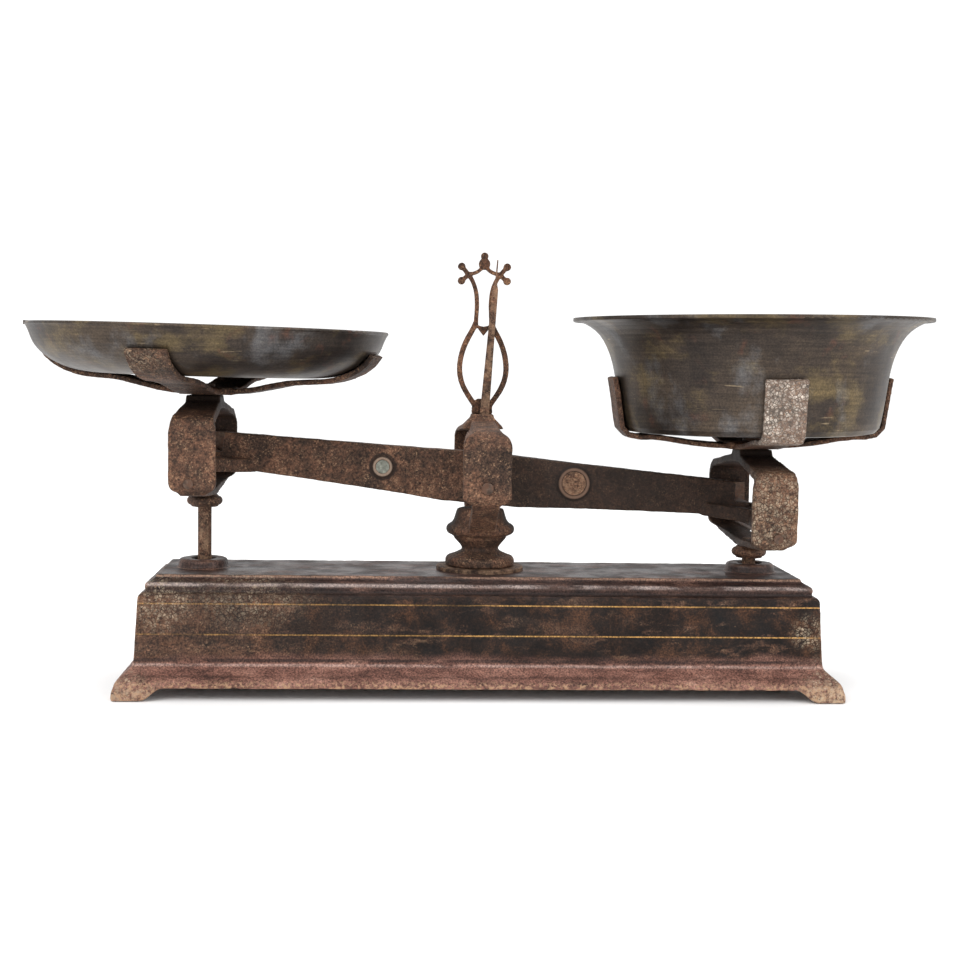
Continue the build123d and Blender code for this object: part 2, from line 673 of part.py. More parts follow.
def cross(x, hub_z, under, thick, half_w, turn):
    """Four bent straps on a square hub; under is one strap's lower line."""
    path = [(r, hub_z + dz) for r, dz in under]
    arm = Part() + plate_xz(strap_section(path, thick), -half_w, half_w)
    body = Part() + block(-HUB_HALF, HUB_HALF, -HUB_HALF, HUB_HALF, hub_z, hub_z + thick + HUB_RISE)
    for quarter in range(4):
        body += Rot(0, 0, 90 * quarter + turn) * arm
    body = Pos(pan_x(x), 0, 0) * body
    body -= rod_z(SPIGOT_R + FIT, hub_z - 5, hub_z + thick + 2, x)
    return body


def cross_screw(x, hub_z, thick):
    """Screw with a slotted head that holds the cross on its carrier."""
    top = hub_z + thick + HUB_RISE
    screw = rod_z(SPIGOT_R, hub_z - 8.0, top, x)
    screw += rod_z(6.6, top, top + 1.8, x)
    return screw - block(x - 8, x + 8, -0.6, 0.6, top + 0.9, top + 3)


# ---------------------------------------------------------------- pans

def pan_shell(outer, thick, bead):
    """Spun sheet pan: the wall is built inward from its outer line."""
    line = Spline(*[Vector(r, 0, z) for r, z in outer])
    out, inn = [], []
    steps = 22
    for step in range(steps + 1):
        at = line.position_at(step / steps)
        along = line.tangent_at(step / steps)
        out.append((at.X, at.Z))
        inn.append((at.X - along.Z * thick, at.Z + along.X * thick))
    floor = outer[0][1]
    profile = [(0, floor)] + out + list(reversed(inn)) + [(0, floor + thick)]
    wire = Polyline(*[Vector(r, 0, z) for r, z in profile], close=True)
    body = Part() + revolve(make_face(wire), Axis.Z)
    end = outer[-1]
    ring = Pos(end[0] - bead, 0, end[1]) * (Plane.XZ * Circle(bead))
    return body + revolve(ring, Axis.Z)


def dish():
    """Shallow dish with a small lip folded out of its rim."""
    rim = DISH_RIM_Z
    line = [
        (DISH_BOTTOM_R, rim - 30.6), (91.0, rim - 27.4), (105.3, rim - 19.6),
        (111.6, rim - 12.3), (114.6, rim - 5.0), (DISH_R - 0.6, rim - 0.6),
    ]
    body = pan_shell(line, METAL, BEAD_R)
    lip = block(-DISH_R - LIP, -DISH_R + 1.6, -LIP_HALF, LIP_HALF, rim - 1.4, rim + 1.2)
    body += lip
    return Pos(pan_x(-END_X), 0, 0) * body


def bowl():
    """Deep bowl with a flared rim."""
    rim = BOWL_RIM_Z
    line = [
        (BOWL_BOTTOM_R, rim - 75.0), (84.0, rim - 72.8), (86.2, rim - 66.0), (88.3, rim - 53.0),
        (91.0, rim - 35.0), (92.9, rim - 27.0), (95.9, rim - 19.0),
        (100.6, rim - 11.0), (108.4, rim - 4.4), (BOWL_R - 0.6, rim - 0.8),
    ]
    return Pos(pan_x(END_X), 0, 0) * pan_shell(line, METAL, BEAD_R)


# ---------------------------------------------------------------- counter-beam


def counter_top(x):
    """Height of the counter-beam's upper edge above its pivot line."""
    return 9.0 - 3.4 * min(abs(x), ARM) / ARM


def stop_lug_z(side):
    """Lower face of a stop lug: STOP_GAP over the raised counter-beam."""
    rise = STOP_X * math.sin(SWING) + counter_top(STOP_X) * math.cos(SWING)
    reach = 5.0 * math.sin(SWING) + 0.6
    return LOWER_PIVOT_Z + rise + STOP_GAP + reach


def counterbeam():
    """Lower beam of the parallelogram, forked at both ends."""
    z = LOWER_PIVOT_Z
    half = [
        (0, -9.0), (ARM - 24, -5.8), (ARM + EAR_END, -EAR_HALF_Z),
        (ARM + EAR_END, EAR_HALF_Z), (ARM - 24, 5.8), (0, 9.0),
    ]
    points = [(x, z + dz) for x, dz in half]
    outline = points + [(-x, zz) for x, zz in reversed(points[1:-1])]
    body = Part() + plate_xz(outline, -COUNTER_HALF_Y, COUNTER_HALF_Y)
    for side in (-1, 1):
        x = side * ARM
        near, far = x - side * 14.0, x + side * EAR_END
        body += block(min(near, far), max(near, far), -EAR_OUT, EAR_OUT, z - EAR_HALF_Z, z + EAR_HALF_Z)
        body -= block(x - 10, x + 10, -STEM_R - 0.4, STEM_R + 0.4, z - 20, z + 20)
        body -= rod_y(LINK_R + FIT, -20, 20, x, z)
    body -= rod_y(LOWER_PIN_R + 0.06, -20, 20, 0, z)
    return body


def link_pin(side):
    """Pin through the fork at one end of the counter-beam."""
    z = LOWER_PIVOT_Z
    pin = rod_y(LINK_R, -EAR_OUT - 0.2, EAR_OUT + 0.6, side * ARM, z)
    return pin + rod_y(LINK_R + 1.2, -EAR_OUT - 1.8, -EAR_OUT, side * ARM, z)


def build():
    save(base_casting(), "base_casting")
    save(seat_disc(), "column_seat")
    save(column_fork(), "column_fork")
    save(column_washer(), "column_washer")
    save(column_nut(), "column_nut")
    save(lower_clevis(), "lower_clevis")
    save(lower_pivot_pin(), "lower_pivot_pin")
    for side, name in ((-1, "front"), (1, "rear")):
        save(fork_bearing(side), "fork_bearing_" + name)
        save(fork_pin(side), "fork_pin_" + name)
    save(lyre(), "lyre")
    save(Compound(children=[lyre_screw(x) for x in LYRE_SCREW_X]), "lyre_screws")

    save(tilt(beam(), PIVOT_Z), "beam")
    save(tilt(knife(0, PIVOT_Z, 1), PIVOT_Z), "centre_knife")
    save(tilt(knife(-ARM, PIVOT_Z, -1), PIVOT_Z), "left_knife")
    save(tilt(knife(ARM, PIVOT_Z, -1), PIVOT_Z), "right_knife")
    save(tilt(pointer(), PIVOT_Z), "pointer")
    save(tilt(pointer_screw(), PIVOT_Z), "pointer_screw")
    save(tilt(lead_plug(), PIVOT_Z), "lead_plug")
    save(tilt(capacity_disc(), PIVOT_Z), "capacity_disc")

    for side, name, z in ((-1, "left", LEFT_Z), (1, "right", RIGHT_Z)):
        x = side * END_X
        save(carrier_frame(x, z, side), name + "_carrier")
        save(carrier_bearing(x, z, -1), name + "_bearing_front")
        save(carrier_bearing(x, z, 1), name + "_bearing_rear")
        save(keeper_pin(x, z, side), name + "_keeper_pin")
        save(collar(x, z), name + "_collar")
        save(stem(x, z), name + "_stem")

    for name, x, knife_z, under, turn, lean, pan, pan_name in (
        ("left", -END_X, LEFT_Z, DISH_UNDER, DISH_TURN, DISH_LEAN, dish(), "dish"),
        ("right", END_X, RIGHT_Z, BOWL_UNDER, BOWL_TURN, BOWL_LEAN, bowl(), "bowl"),
    ):
        hub = knife_z + NECK_TOP + LEAN_RISE
        straps = cross(x, hub, under, STRAP, CROSS_HALF_W, turn)
        save(tilt(straps, hub, lean, x), name + "_cross")
        save(tilt(cross_screw(x, hub, STRAP), hub, lean, x), name + "_cross_screw")
        save(tilt(pan, hub, lean, x), pan_name)

    save(tilt(counterbeam(), LOWER_PIVOT_Z), "counterbeam")
    save(tilt(link_pin(-1), LOWER_PIVOT_Z), "left_link_pin")
    save(tilt(link_pin(1), LOWER_PIVOT_Z), "right_link_pin")


build()
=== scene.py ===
"""Looks of an old two-pan counter balance: worn cast iron, faded paint and dark brass."""
import json
import math

import bpy
from mathutils import Matrix, Vector, noise

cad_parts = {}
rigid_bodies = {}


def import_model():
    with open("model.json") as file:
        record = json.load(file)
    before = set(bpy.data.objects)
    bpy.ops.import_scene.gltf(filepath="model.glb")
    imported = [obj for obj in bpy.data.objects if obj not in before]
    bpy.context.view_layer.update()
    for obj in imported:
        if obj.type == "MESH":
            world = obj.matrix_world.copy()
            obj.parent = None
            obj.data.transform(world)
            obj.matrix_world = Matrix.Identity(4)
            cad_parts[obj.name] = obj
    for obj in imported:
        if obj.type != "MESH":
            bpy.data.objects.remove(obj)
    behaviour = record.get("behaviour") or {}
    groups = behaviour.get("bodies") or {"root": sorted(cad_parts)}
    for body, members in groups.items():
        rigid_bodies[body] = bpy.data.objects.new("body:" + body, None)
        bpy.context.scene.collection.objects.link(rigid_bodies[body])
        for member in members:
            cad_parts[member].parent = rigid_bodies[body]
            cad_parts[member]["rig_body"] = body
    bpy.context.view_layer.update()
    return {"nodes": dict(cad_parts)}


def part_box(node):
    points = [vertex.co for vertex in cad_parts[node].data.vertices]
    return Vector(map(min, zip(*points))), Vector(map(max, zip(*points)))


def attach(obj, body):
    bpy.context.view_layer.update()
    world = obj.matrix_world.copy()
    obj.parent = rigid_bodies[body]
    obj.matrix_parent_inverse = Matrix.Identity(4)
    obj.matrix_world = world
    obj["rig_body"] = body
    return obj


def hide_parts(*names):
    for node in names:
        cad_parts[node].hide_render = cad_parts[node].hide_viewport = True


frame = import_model()
NODES = frame["nodes"]

MM = 0.001

# ---- camera ----
CAMERA_AT = Vector((-0.0620, -1.0000, 0.2185))
CAMERA_YAW = 3.51        # degrees to the right of +Y
CAMERA_PITCH = -4.70
CAMERA_ROLL = 0.98
LENS = 56.4

# ---- studio ----
WORLD_LIGHT = 1.15
FLOOR_HALF = 4.0
FLOOR_DROP = 0.0005      # the floor lies this far under the feet
LIGHT_TARGET = (0.0, 0.0, 0.12)
TOP_TARGET = (0.0, 0.0, 0.1)

# ---- the balance, as the CAD has it ----
BEAM_ARM = 0.1835        # knife to knife along the beam
REST_TILT = math.radians(4.8)
KNIFE_Z = 0.1385         # centre knife
RIGHT_X = BEAM_ARM * math.cos(REST_TILT)
LEFT_X = -RIGHT_X
LEFT_Z = KNIFE_Z + BEAM_ARM * math.sin(REST_TILT)
RIGHT_Z = KNIFE_Z - BEAM_ARM * math.sin(REST_TILT)
NECK = 0.033             # middle of a carrier's neck above its knife

# ---- levels on the plinth ----
PINSTRIPE_Z = (0.0591, 0.0396)
MOULDING_FOOT = (0.0640, 0.0680)   # the mouldings start between these heights
OGEE_TOP = (0.030, 0.020)
END_X = 0.225                      # about the ends of the plinth


# ---------------------------------------------------------------- shader kit

class Shader:
    """A material under construction, with short calls for its nodes."""

    def __init__(self, name):
        self.material = bpy.data.materials.new(name)
        self.material.use_nodes = True
        self.tree = self.material.node_tree
        self.tree.nodes.clear()
        output = self.tree.nodes.new("ShaderNodeOutputMaterial")
        self.bsdf = self.tree.nodes.new("ShaderNodeBsdfPrincipled")
        self.tree.links.new(self.bsdf.outputs[0], output.inputs[0])
        coords = self.tree.nodes.new("ShaderNodeTexCoord")
        self.place = coords.outputs["Object"]

    def link(self, value, socket):
        """Feed a socket from another socket or from a constant."""
        if isinstance(value, bpy.types.NodeSocket):
            self.tree.links.new(value, socket)
        else:
            socket.default_value = value

    def set(self, name, value):
        self.link(value, self.bsdf.inputs[name])

    def stretch(self, factors, offset=(0.0, 0.0, 0.0)):
        """Object coordinates scaled along each axis and moved."""
        node = self.tree.nodes.new("ShaderNodeMapping")
        node.inputs["Scale"].default_value = factors
        node.inputs["Location"].default_value = offset
        self.tree.links.new(self.place, node.inputs["Vector"])
        return node.outputs[0]

    def noise(self, size, detail=6.0, rough=0.6, where=None, warp=0.0):
        """Cloudy noise whose features are about size metres wide."""
        node = self.tree.nodes.new("ShaderNodeTexNoise")
        node.inputs["Scale"].default_value = 1.0 / size
        node.inputs["Detail"].default_value = detail
        node.inputs["Roughness"].default_value = rough
        node.inputs["Distortion"].default_value = warp
        self.tree.links.new(where or self.place, node.inputs["Vector"])
        return node.outputs["Fac"]

    def cells(self, size, feature="F1"):
        """Cell pattern whose cells are about size metres wide."""
        node = self.tree.nodes.new("ShaderNodeTexVoronoi")
        node.feature = feature
        node.inputs["Scale"].default_value = 1.0 / size
        self.tree.links.new(self.place, node.inputs["Vector"])
        return node.outputs["Distance"]

    def axis(self, name):
        """One object coordinate in metres."""
        node = self.tree.nodes.new("ShaderNodeSeparateXYZ")
        self.tree.links.new(self.place, node.inputs[0])
        return node.outputs[name]

    def facing(self, name):
        """One component of the surface normal, in the object's own frame."""
        coords = self.tree.nodes.new("ShaderNodeTexCoord")
        node = self.tree.nodes.new("ShaderNodeSeparateXYZ")
        self.tree.links.new(coords.outputs["Normal"], node.inputs[0])
        return node.outputs[name]

    def math(self, operation, a, b=0.0):
        node = self.tree.nodes.new("ShaderNodeMath")
        node.operation = operation
        self.link(a, node.inputs[0])
        self.link(b, node.inputs[1])
        return node.outputs[0]

    def band(self, value, low, high):
        """0 below low, 1 above high, smooth between; low may exceed high."""
        node = self.tree.nodes.new("ShaderNodeMapRange")
        node.interpolation_type = "SMOOTHSTEP"
        flip = low > high
        self.link(value, node.inputs["Value"])
        node.inputs["From Min"].default_value = min(low, high)
        node.inputs["From Max"].default_value = max(low, high)
        node.inputs["To Min"].default_value = float(flip)
        node.inputs["To Max"].default_value = float(not flip)
        return node.outputs["Result"]

    def colours(self, value, stops):
        """Colour ramp from (position, (r, g, b)) stops."""
        node = self.tree.nodes.new("ShaderNodeValToRGB")
        ramp = node.color_ramp
        while len(ramp.elements) < len(stops):
            ramp.elements.new(0.5)
        for element, (position, colour) in zip(ramp.elements, stops):
            element.position = position
            element.color = (*colour, 1.0)
        self.link(value, node.inputs[0])
        return node.outputs[0]

    def mix(self, share, a, b, blend="MIX"):
        """Colour mix; a and b are sockets or (r, g, b)."""
        node = self.tree.nodes.new("ShaderNodeMix")
        node.data_type = "RGBA"
        node.blend_type = blend
        node.clamp_factor = True
        self.link(share, node.inputs["Factor"])
        for value, name in ((a, "A"), (b, "B")):
            if isinstance(value, tuple):
                value = (*value, 1.0)
            socket = next(s for s in node.inputs if s.name == name and s.type == "RGBA")
            self.link(value, socket)
        return next(s for s in node.outputs if s.type == "RGBA")

    def lay(self, colour, shade, share, amount):
        """Lay a shade over a colour where share is 1, no thicker than amount."""
        return self.mix(self.math("MULTIPLY", share, amount), colour, shade)

    def line(self, value, start, gain):
        """start + gain * value."""
        return self.math("ADD", start, self.math("MULTIPLY", value, gain))

    def total(self, first, first_share, second, second_share):
        """Weighted sum of two values."""
        return self.math(
            "ADD", self.math("MULTIPLY", first, first_share), self.math("MULTIPLY", second, second_share))

    def both(self, *masks):
        """Product of masks."""
        total = masks[0]
        for mask in masks[1:]:
            total = self.math("MULTIPLY", total, mask)
        return total

    def strip(self, value, low, high, soft):
        """1 between two levels of a value, with soft ends."""
        return self.both(
            self.band(value, low - soft, low + soft), self.band(value, high + soft, high - soft))

    def bump(self, height, depth, strength):
        """Normal of a height field, depth in metres."""
        node = self.tree.nodes.new("ShaderNodeBump")
        node.inputs["Strength"].default_value = strength
        node.inputs["Distance"].default_value = depth
        self.link(height, node.inputs["Height"])
        return node.outputs[0]

    def worn_edges(self, low=0.52, high=0.60):
        """1 where the mesh is sharply convex."""
        node = self.tree.nodes.new("ShaderNodeNewGeometry")
        return self.band(node.outputs["Pointiness"], low, high)

    def hollows(self, low=0.48, high=0.40):
        """1 where the mesh is sharply concave."""
        node = self.tree.nodes.new("ShaderNodeNewGeometry")
        return self.band(node.outputs["Pointiness"], low, high)

    def ball(self, centre, radius, soft=0.5, squash=(1.0, 1.0, 1.0)):
        """1 inside a soft ball around a point of the object."""
        node = self.tree.nodes.new("ShaderNodeVectorMath")
        node.operation = "DISTANCE"
        factors = tuple(1.0 / s for s in squash)
        moved = tuple(-c * f for c, f in zip(centre, factors))
        self.tree.links.new(self.stretch(factors, moved), node.inputs[0])
        node.inputs[1].default_value = (0.0, 0.0, 0.0)
        return self.band(node.outputs["Value"], radius * (1.0 + soft), radius * (1.0 - soft))


# ---------------------------------------------------------------- materials

DARK_RUST_AND_SHADE = (0.014, 0.009, 0.007)
RUST_BROWN = (0.046, 0.026, 0.018)
RUST_RED = (0.098, 0.048, 0.030)
RUST_TAN = (0.260, 0.160, 0.098)
CORNER_DARK = (0.012, 0.008, 0.007)
BARE = (0.56, 0.44, 0.31)
WHITISH = (0.78, 0.68, 0.58)
GILT = (0.38, 0.21, 0.065)


def rust_base(shader, warm=0.0):
    """Brown pitted rust: its colour, and a height for the bump."""
    broad = shader.noise(0.030, 5.0, 0.6, warp=0.4)
    fine = shader.noise(0.0034, 8.0, 0.68)
    grains = shader.noise(0.0011, 3.0, 0.55)
    tone = shader.math("ADD", shader.total(broad, 0.55, fine, 0.45), warm)
    colour = shader.colours(tone, [
        (0.34, DARK_RUST_AND_SHADE), (0.46, RUST_BROWN), (0.56, RUST_RED), (0.70, RUST_TAN),
    ])
    islands = shader.band(shader.noise(0.0075, 5.0, 0.65), 0.44, 0.60)
    specks = shader.both(shader.band(grains, 0.52, 0.63), islands)
    colour = shader.lay(colour, RUST_TAN, specks, 0.62)
    pits = shader.band(shader.cells(0.0030), 0.34, 0.10)
    colour = shader.lay(colour, DARK_RUST_AND_SHADE, pits, 0.65)
    height = shader.total(fine, 0.8, grains, 0.35)
    height = shader.math("SUBTRACT", height, shader.math("MULTIPLY", pits, 0.35))
    return colour, height


def grit(shader, colour, amount):
    """Light and dark grains laid over a colour."""
    grain = shader.colours(shader.noise(0.0012, 5.0, 0.72), [
        (0.36, (0.06, 0.06, 0.06)), (0.50, (0.46, 0.46, 0.46)), (0.64, (1.0, 0.97, 0.90)),
    ])
    return shader.mix(amount, colour, grain, "OVERLAY")


def speckled(shader, colour, where, amount, pale=BARE):
    """Pale grains of bare metal and old limewash inside a mask, with cracks."""
    grain = shader.band(shader.noise(0.0009, 4.0, 0.65), 0.42, 0.60)
    island = shader.band(shader.noise(0.0046, 6.0, 0.70), 0.34, 0.64)
    tones = shader.colours(shader.noise(0.0028, 4.0, 0.6), [
        (0.36, (0.20, 0.105, 0.060)), (0.50, tuple(0.6 * c for c in pale)), (0.66, pale),
    ])
    cracks = shader.band(shader.cells(0.0024, feature="DISTANCE_TO_EDGE"), 0.03, 0.16)
    share = shader.both(shader.line(grain, 0.4, 0.6), island, where, cracks)
    return shader.lay(colour, tones, share, amount)


def pale_patches(shader, colour, patches, pale, veil):
    """Speckled patches, (centre, radius, amount), under a thin pale veil."""
    for centre, radius, amount in patches:
        spot = shader.ball(centre, radius)
        colour = shader.lay(colour, tuple(0.5 * c for c in pale), spot, veil)
        colour = speckled(shader, colour, spot, amount, pale)
    return colour


def ringed(shader, colour, rings):
    """Rings round a place, (centre, inner radius, outer radius, amount, colour)."""
    for centre, inner, outer, amount, shade in rings:
        hole = shader.math("SUBTRACT", 1.0, shader.ball(centre, inner, 0.06))
        ring = shader.both(shader.ball(centre, outer, 0.06), hole)
        colour = shader.lay(colour, shade, ring, amount)
    return colour


def rubbed_edges_dark_corners(shader, colour):
    """Rust-tan on sharp edges and near-black in sharp corners."""
    broken = shader.band(shader.noise(0.006, 5.0), 0.42, 0.62)
    rim = shader.both(shader.worn_edges(), broken)
    colour = shader.lay(colour, RUST_TAN, rim, 0.5)
    return shader.lay(colour, CORNER_DARK, shader.hollows(), 0.75)


def iron_material(name, warm=0.0, tint=None, shaded_back=False, shade_spots=(), darker_right=False,
                  patches=(), pale=BARE, veil=0.0, rings=()):
    """Rusty cast iron. Patches and shade spots are places, (centre, radius, amount),
    of pale speckle and of painted shade in black; the back can also be painted darker as shade; for rings
    see ringed."""
    shader = Shader(name)
    colour, height = rust_base(shader, warm)
    colour = grit(shader, colour, 0.75)
    if tint:
        colour = shader.mix(0.35, colour, shader.mix(1.0, colour, tint, "MULTIPLY"))
    # Painted shade: the back of the part is made darker, as it gets less light.
    if shaded_back:
        behind = shader.band(shader.axis("Y"), -0.062, -0.030)
        colour = shader.lay(colour, DARK_RUST_AND_SHADE, behind, 0.66)
    # Painted shade, near black, in the given places: the carriers' necks and the sides of the column's
    # neck.
    for centre, radius, amount in shade_spots:
        colour = shader.lay(colour, DARK_RUST_AND_SHADE, shader.ball(centre, radius), amount)
    if darker_right:
        colour = shader.lay(colour, DARK_RUST_AND_SHADE, shader.band(shader.axis("X"), -0.020, 0.040), 0.80)
    colour = rubbed_edges_dark_corners(shader, colour)
    colour = pale_patches(shader, colour, patches, pale, veil)
    colour = ringed(shader, colour, rings)
    shader.set("Base Color", colour)
    sheen = shader.math("MULTIPLY", shader.noise(0.012, 4.0), 0.34)
    shader.set("Roughness", shader.math("SUBTRACT", 0.86, sheen))
    shader.set("Specular IOR Level", 0.17)
    shader.set("Normal", shader.bump(height, 0.0006, 0.95))
    return shader.material


# Lines on the plinth's mouldings, painted light and shade: the light lines are painted highlights on the
# rounds, the dark lines painted shade in the grooves. Lowest and highest z, softness, amount, colour.
MOULDING_SHADE_AND_HIGHLIGHTS = (
    (0.0748, 0.0768, 0.0003, 0.55, (0.300, 0.180, 0.125)),
    (0.0722, 0.0740, 0.0004, 0.80, (0.020, 0.009, 0.007)),
    (0.0698, 0.0718, 0.0007, 0.75, (0.300, 0.245, 0.230)),
    (0.0640, 0.0668, 0.0008, 0.85, (0.016, 0.009, 0.008)),
    (0.0222, 0.0244, 0.0006, 0.80, (0.016, 0.010, 0.009)),
    (0.0196, 0.0212, 0.0006, 0.60, (0.330, 0.230, 0.200)),
    (0.0138, 0.0150, 0.0005, 0.45, (0.030, 0.016, 0.012)),
)

ROUND = (1.0, 1.0, 1.0)
FLAT = (1.0, 1.0, 0.5)
# Bare places on the plinth: centre, radius, amount, squash.
PLINTH_BARE = (
    ((0.212, -0.046, 0.043), 0.010, 1.0, ROUND),
    ((0.228, -0.060, 0.010), 0.018, 0.9, ROUND),
    ((-0.206, -0.043, 0.060), 0.017, 0.8, ROUND),
    ((-0.228, -0.060, 0.008), 0.014, 0.7, ROUND),
    ((-0.150, -0.043, 0.064), 0.034, 0.45, FLAT),
)


def peeling_paint(shader, x, rust):
    """Dark paint that has come off towards the ends, most at the left."""
    paint_colour = shader.colours(shader.noise(0.018, 7.0, 0.7, warp=0.3), [
        (0.32, (0.004, 0.003, 0.003)), (0.50, (0.012, 0.006, 0.004)), (0.68, (0.060, 0.026, 0.013)),
    ])
    flakes = shader.noise(0.011, 9.0, 0.72, where=shader.stretch((0.35, 1.0, 1.0)))
    toward_ends = shader.band(shader.math("ABSOLUTE", x), 0.05, END_X)
    peeled = shader.math("MULTIPLY", shader.band(flakes, 0.52, 0.60), shader.line(toward_ends, 0.35, 0.65))
    colour = shader.mix(peeled, paint_colour, rust)
    return shader.lay(colour, rust, shader.band(x, -0.04, -0.22), 0.55)


def pinstripes(shader, colour, x, z):
    """Thin gilt lines, best kept on the right half."""
    for level in PINSTRIPE_Z:
        off = shader.math("ABSOLUTE", shader.math("SUBTRACT", z, level))
        stripe = shader.band(off, 0.00055, 0.00025)
        rubbed = shader.noise(0.012, 6.0, 0.7, where=shader.stretch((0.15, 1.0, 1.0)))
        kept = shader.band(rubbed, 0.36, 0.56)
        right = shader.line(shader.band(x, -0.10, 0.04), 0.45, 0.45)
        colour = shader.mix(shader.both(stripe, kept, right), colour, GILT)
    return colour


def copper_ogee(shader, colour, z):
    """Copper-brown foot of the plinth, with an uneven upper edge."""
    wobble = shader.math("MULTIPLY", shader.math("SUBTRACT", shader.noise(0.05, 4.0), 0.5), 0.016)
    ogee = shader.band(shader.math("ADD", z, wobble), *OGEE_TOP)
    copper = shader.colours(shader.noise(0.014, 8.0, 0.72, where=shader.stretch((0.45, 1.0, 1.0))), [
        (0.30, (0.030, 0.017, 0.014)), (0.46, (0.120, 0.055, 0.042)),
        (0.60, (0.210, 0.105, 0.080)), (0.76, (0.36, 0.23, 0.18)),
    ])
    return shader.mix(ogee, colour, copper)


def plinth_top(shader, colour, top):
    """Greyer top plane and lilac-brown mouldings."""
    brown = shader.colours(shader.noise(0.013, 7.0, 0.65, where=shader.stretch((0.4, 1.0, 1.0))), [
        (0.34, (0.014, 0.010, 0.010)), (0.52, (0.042, 0.023, 0.019)), (0.70, (0.125, 0.068, 0.052)),
    ])
    return shader.mix(top, colour, brown)


def moulding_shade_and_highlights(shader, colour, z):
    """Painted highlights and painted shade along the mouldings, as light and dark lines, broken here and
    there.
    """
    patchy = shader.noise(0.010, 7.0, 0.7, where=shader.stretch((0.25, 1.0, 1.0)))
    broken = shader.band(patchy, 0.34, 0.56)
    for low, high, soft, amount, shade in MOULDING_SHADE_AND_HIGHLIGHTS:
        side = shader.band(shader.facing("Z"), 0.95, 0.85)
        share = shader.both(shader.strip(z, low, high, soft), broken, side)
        colour = shader.lay(colour, shade, share, amount)
    return colour


def plinth_wear(shader, colour, x, z):
    """Rubbed edges, darker sharp corners, scuffed feet, a speckled lower rim and bare places."""
    broken = shader.band(shader.noise(0.008, 6.0, 0.65), 0.40, 0.60)
    edges = shader.both(shader.worn_edges(0.51, 0.57), broken)
    colour = shader.lay(colour, (0.33, 0.18, 0.12), edges, 0.65)
    colour = shader.lay(colour, (0.010, 0.007, 0.006), shader.hollows(0.485, 0.43), 0.8)
    at_ends = shader.band(shader.math("ABSOLUTE", x), 0.196, 0.216)
    foot = shader.both(shader.band(z, 0.016, 0.004), at_ends)
    scuff = shader.band(shader.noise(0.0040, 7.0, 0.7), 0.42, 0.60)
    feet = shader.line(shader.band(x, -0.1, 0.1), 0.50, 0.35)
    colour = shader.mix(shader.both(foot, scuff, feet), colour, (0.50, 0.36, 0.24))
    grains = shader.band(shader.noise(0.0022, 5.0, 0.65), 0.48, 0.60)
    rim = shader.both(shader.band(z, 0.0135, 0.0100), grains)
    colour = shader.lay(colour, (0.36, 0.22, 0.13), rim, 0.75)
    for centre, radius, amount, squash in PLINTH_BARE:
        colour = speckled(shader, colour, shader.ball(centre, radius, 0.5, squash), amount)
    return colour


def base_material():
    """Old dark paint over iron, gilt lines, copper-brown ogee and worn feet."""
    shader = Shader("plinth_paint")
    z = shader.axis("Z")
    x = shader.axis("X")
    top = shader.band(z, *MOULDING_FOOT)
    rust, relief = rust_base(shader)
    colour = peeling_paint(shader, x, rust)
    colour = pinstripes(shader, colour, x, z)
    colour = copper_ogee(shader, colour, z)
    colour = plinth_top(shader, colour, top)
    # Painted highlights and painted shade on the mouldings.
    colour = moulding_shade_and_highlights(shader, colour, z)
    colour = grit(shader, colour, 0.80)
    colour = plinth_wear(shader, colour, x, z)
    shader.set("Base Color", colour)
    gloss = shader.band(shader.noise(0.02, 5.0), 0.35, 0.65)
    shader.set("Roughness", shader.math("SUBTRACT", 0.74, shader.total(gloss, 0.22, top, 0.16)))
    shader.set("Specular IOR Level", 0.20)
    shader.set("Normal", shader.bump(relief, 0.0004, 0.7))
    return shader.material


def patina(shader, gold_more):
    """Brown patina with olive gold, reddish and blue-grey clouds."""
    smear = shader.noise(0.034, 8.0, 0.62, where=shader.stretch((1.0, 1.0, 1.3)))
    colour = shader.colours(shader.noise(0.048, 6.0, 0.62), [
        (0.30, (0.018, 0.014, 0.013)), (0.48, (0.040, 0.030, 0.024)),
        (0.64, (0.062, 0.045, 0.032)), (0.80, (0.10, 0.070, 0.045)),
    ])
    gold = shader.band(smear, 0.50 - gold_more, 0.68 - gold_more)
    colour = shader.lay(colour, (0.190, 0.138, 0.062), gold, 0.42)
    red = shader.band(shader.noise(0.018, 6.0, 0.6, warp=0.4), 0.58, 0.74)
    colour = shader.lay(colour, (0.14, 0.055, 0.035), red, 0.4)
    cloud = shader.noise(0.030, 6.0, 0.6, where=shader.stretch((1.0, 1.0, 0.6), (3.0, 1.0, 0.0)))
    return shader.lay(colour, (0.155, 0.160, 0.170), shader.band(cloud, 0.52, 0.70), 0.40)


def turning_marks(shader, colour):
    """Fine level rings from spinning the sheet, and short scratches."""
    turned = shader.noise(0.0016, 4.0, 0.6, where=shader.stretch((0.05, 0.05, 1.0)))
    rings = shader.colours(turned, [
        (0.36, (0.30, 0.30, 0.30)), (0.50, (0.49, 0.49, 0.49)), (0.64, (0.72, 0.70, 0.66)),
    ])
    colour = shader.mix(0.55, colour, rings, "OVERLAY")
    strokes = shader.noise(0.0030, 2.0, 0.4, where=shader.stretch((0.16, 0.16, 2.0)))
    here_and_there = shader.band(shader.noise(0.035, 4.0), 0.52, 0.62)
    scratch = shader.both(shader.band(strokes, 0.670, 0.72), here_and_there)
    return shader.lay(colour, (0.42, 0.32, 0.20), scratch, 0.30)


